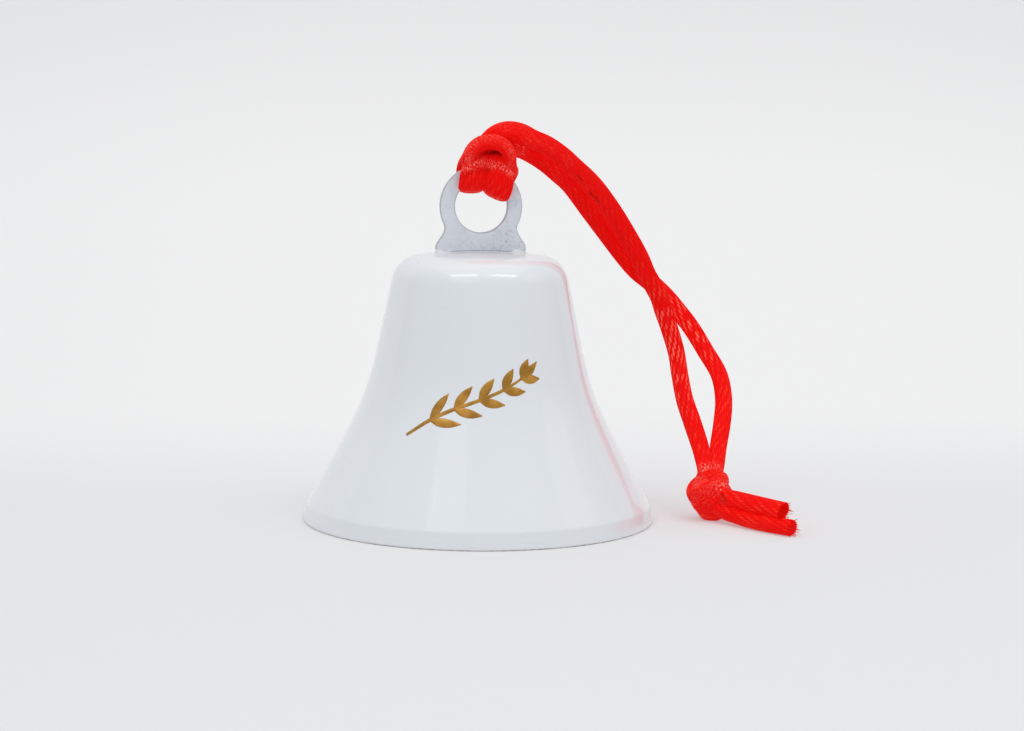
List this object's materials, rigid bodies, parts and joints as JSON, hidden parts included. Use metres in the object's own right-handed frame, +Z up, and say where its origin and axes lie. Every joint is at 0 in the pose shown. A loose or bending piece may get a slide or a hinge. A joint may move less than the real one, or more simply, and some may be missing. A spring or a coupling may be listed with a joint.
{
  "type": "hand bell ornament",
  "caption": "Small flared white metal bell with a stamped hanger plate on its crown, a swinging wire clapper inside and a knotted red satin cord hitched to the ring.",
  "frame": {"origin": "centre of the bell's rim, on the surface it stands on", "axes": "+Z up along the bell's axis, X along the width of the hanger plate with the cord hanging on the +X side, -Y towards the front in the picture"},
  "size_m": [0.0609, 0.045, 0.0503],
  "materials": {
    "white_enamel": "gloss white enamel on thin pressed steel",
    "grey_plate": "pale grey satin coat with fine speckle",
    "plated_steel": "plain drawn wire",
    "plated_ball": "plain turned steel",
    "red_satin": "red satin cord with fine lengthwise ribs"
  },
  "bodies": {
    "bell": {"bell_shell": "white_enamel", "hanger_plate": "grey_plate", "cord_hitch": "red_satin", "cord_leg_left": "red_satin", "cord_leg_right": "red_satin", "cord_knot": "red_satin", "cord_tail_upper": "red_satin", "cord_tail_lower": "red_satin"},
    "clapper": {"clapper_rod": "plated_steel", "clapper_ball": "plated_ball"}
  },
  "joints": [
    {"name": "clapper_swing", "type": "hinge", "parent": "bell", "child": "clapper", "pos_m": [0, 0, 0.0296], "axis": [0, 1, 0], "range_deg": [-31.5, 31.5]}
  ]
}
